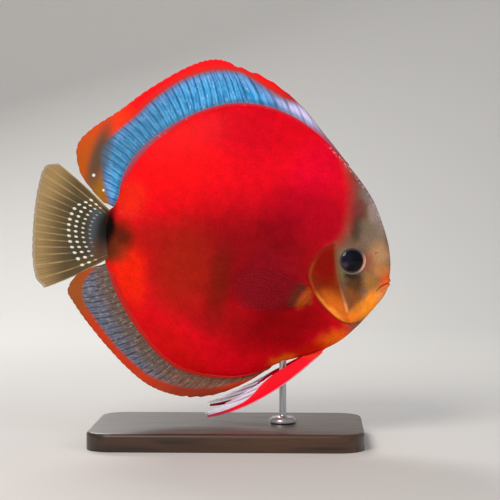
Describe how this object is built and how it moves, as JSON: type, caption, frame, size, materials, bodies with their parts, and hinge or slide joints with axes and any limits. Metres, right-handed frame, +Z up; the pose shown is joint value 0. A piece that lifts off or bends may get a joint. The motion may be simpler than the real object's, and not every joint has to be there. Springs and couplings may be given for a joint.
{
  "type": "discus fish model on a display stand",
  "caption": "Life-size discus fish with a disc-shaped body, rayed fins and a pointed mouth, nose slightly down, held by a rod on a flat base.",
  "frame": {"origin": "middle of the flat underside of the stand's base", "axes": "+X the way the fish faces, +Y its left side, +Z up from the base"},
  "size_m": [0.1637, 0.078, 0.1727],
  "materials": {
    "head_skin": "moist scaled skin, grey-beige forehead and orange cheek",
    "body_skin": "fine scales, saturated red",
    "dorsal_fin": "blue striated band with a red outer margin",
    "anal_fin": "grey-blue striated band with an orange-red outer margin",
    "caudal_fin": "half-clear ochre membrane with rows of pale spots",
    "pectoral_fin": "clear membrane, faint pinkish rays",
    "pelvic_fin": "saturated red with pale edges",
    "eye": "clear cornea over a dark eye with a thin pale ring",
    "stand_wood": "dark oiled hardwood",
    "stand_steel": "brushed"
  },
  "bodies": {
    "root": {"head": "head_skin", "lower_jaw": "head_skin", "gill_cover_right": "head_skin", "gill_cover_left": "head_skin", "torso": "body_skin", "caudal_peduncle": "body_skin", "dorsal_fin_spiny": "dorsal_fin", "dorsal_fin_soft": "dorsal_fin", "anal_fin_spiny": "anal_fin", "anal_fin_soft": "anal_fin", "caudal_fin": "caudal_fin", "pectoral_fin_right": "pectoral_fin", "pectoral_fin_left": "pectoral_fin", "pelvic_fin_right": "pelvic_fin", "pelvic_fin_left": "pelvic_fin", "eye_right": "eye", "eye_left": "eye", "stand_base": "stand_wood", "stand_rod": "stand_steel"}
  },
  "joints": []
}
